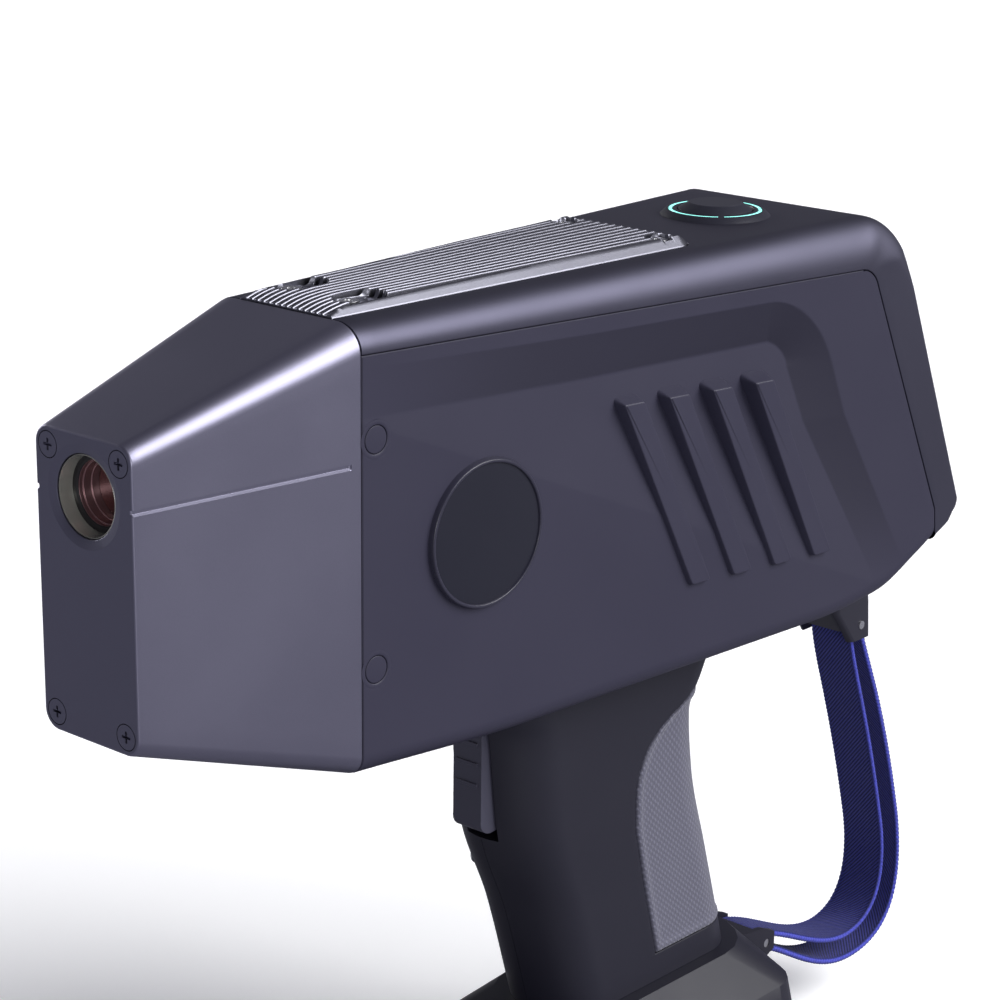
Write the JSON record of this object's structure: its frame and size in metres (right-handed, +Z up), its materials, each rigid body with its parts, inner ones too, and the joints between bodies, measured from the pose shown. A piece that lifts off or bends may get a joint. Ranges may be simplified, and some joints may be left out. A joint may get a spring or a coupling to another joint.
{
  "type": "handheld xrf analyzer",
  "caption": "Pistol-shaped handheld elemental analyzer with windowed nose, finned top heat sink, ribbed sides, rear display, raked grip, wrist strap and stick battery foot.",
  "frame": {"origin": "centre of the underside of the battery foot", "axes": "+Z up; -Y is the way the measuring nose looks; +Y towards the rear display; X across the body"},
  "size_m": [0.0732, 0.2998, 0.2432],
  "materials": {
    "nose_metal": "satin",
    "plate_dark": "satin",
    "screw_dark": "satin",
    "bezel_metal": "polished",
    "baffle_black": "matte",
    "window_glass": "gloss",
    "cover_dark": "satin",
    "side_soft": "matte soft touch",
    "badge_gloss": "satin gloss",
    "screw_steel": "satin",
    "sink_aluminium": "bead blasted",
    "button_black": "satin",
    "led_light": "lit translucent",
    "spring_steel": "bright",
    "board_green": "satin",
    "bezel_black": "satin",
    "display_glass": "gloss",
    "display_metal": "satin",
    "door_rubber": "matte",
    "grip_plastic": "satin",
    "pad_rubber": "textured matte",
    "well_plastic": "matte",
    "trigger_plastic": "satin",
    "switch_black": "matte",
    "lug_plastic": "satin",
    "strap_webbing": "twill weave",
    "battery_plastic": "satin",
    "cell_wrap": "wrapped",
    "contact_brass": "bright",
    "sole_rubber": "matte",
    "latch_plastic": "matte",
    "chassis_aluminium": "milled",
    "tube_steel": "satin",
    "motor_metal": "satin",
    "potting": "cast",
    "spreader_copper": "milled"
  },
  "bodies": {
    "main": {"nose_housing": "nose_metal", "nose_plate": "plate_dark", "plate_screws": "screw_dark", "window_bezel": "bezel_metal", "window_baffle": "baffle_black", "window_glass": "window_glass", "top_cover": "cover_dark", "left_shell": "side_soft", "right_shell": "side_soft", "badge_rims": "side_soft", "badge_faces": "badge_gloss", "side_plugs": "side_soft", "shell_screws": "screw_steel", "heat_sink": "sink_aluminium", "sink_screws": "screw_steel", "button_bezel": "button_black", "led_ring": "led_light", "button_spring": "spring_steel", "power_switch": "board_green", "rear_bezel": "bezel_black", "display_glass": "display_glass", "display_module": "display_metal", "port_pin": "screw_steel", "port_board": "board_green", "grip_left": "grip_plastic", "grip_right": "grip_plastic", "grip_pad": "pad_rubber", "grip_screws": "screw_steel", "battery_well": "well_plastic", "grip_collar": "grip_plastic", "trigger_pin": "screw_steel", "trigger_spring": "spring_steel", "trigger_switch": "switch_black", "strap_lug": "lug_plastic", "strap_pin": "screw_steel", "hand_strap": "strap_webbing", "collar_pin": "screw_steel", "chassis": "chassis_aluminium", "detector_block": "chassis_aluminium", "xray_tube": "tube_steel", "detector_can": "tube_steel", "filter_motor": "motor_metal", "high_voltage_pack": "potting", "main_board": "board_green", "heat_spreader": "spreader_copper", "battery_socket": "well_plastic", "tripod_insert": "contact_brass"},
    "trigger": {"trigger": "trigger_plastic"},
    "power_button": {"power_button": "button_black"},
    "battery": {"battery_case": "battery_plastic", "battery_cells": "cell_wrap", "battery_contacts": "contact_brass", "foot_sole": "sole_rubber", "latch_springs": "spring_steel"},
    "latch_left": {"latch_left": "latch_plastic"},
    "latch_right": {"latch_right": "latch_plastic"},
    "port_door": {"port_door": "door_rubber"},
    "filter_wheel": {"filter_wheel": "contact_brass"}
  },
  "joints": [
    {"name": "trigger_pull", "type": "hinge", "parent": "main", "child": "trigger", "pos_m": [0, -0.043, 0.1316], "axis": [1, 0, 0], "range_deg": [0, 7], "stiffness_Nm_per_rad": 0.5, "springref_deg": -11.46},
    {"name": "power_press", "type": "slide", "parent": "main", "child": "power_button", "axis": [0, 0, -1], "range_m": [0, 0.0008], "stiffness_N_per_m": 1500, "springref_m": -0.0005},
    {"name": "battery_slide", "type": "slide", "parent": "main", "child": "battery", "axis": [0, 0.2756, -0.9613], "range_m": [0, 0.115]},
    {"name": "latch_press_left", "type": "slide", "parent": "battery", "child": "latch_left", "axis": [-1, 0, 0], "range_m": [0, 0.002], "stiffness_N_per_m": 900, "springref_m": -0.001},
    {"name": "latch_press_right", "type": "slide", "parent": "battery", "child": "latch_right", "axis": [1, 0, 0], "range_m": [0, 0.002], "stiffness_N_per_m": 900, "springref_m": -0.001},
    {"name": "door_swing", "type": "hinge", "parent": "main", "child": "port_door", "pos_m": [0, 0.10248, 0.16639], "axis": [-1, 0, 0], "range_deg": [0, 90]},
    {"name": "filter_turn", "type": "hinge", "parent": "main", "child": "filter_wheel", "pos_m": [0, -0.1256, 0.2165], "axis": [0, 1, 0], "continuous": true}
  ]
}
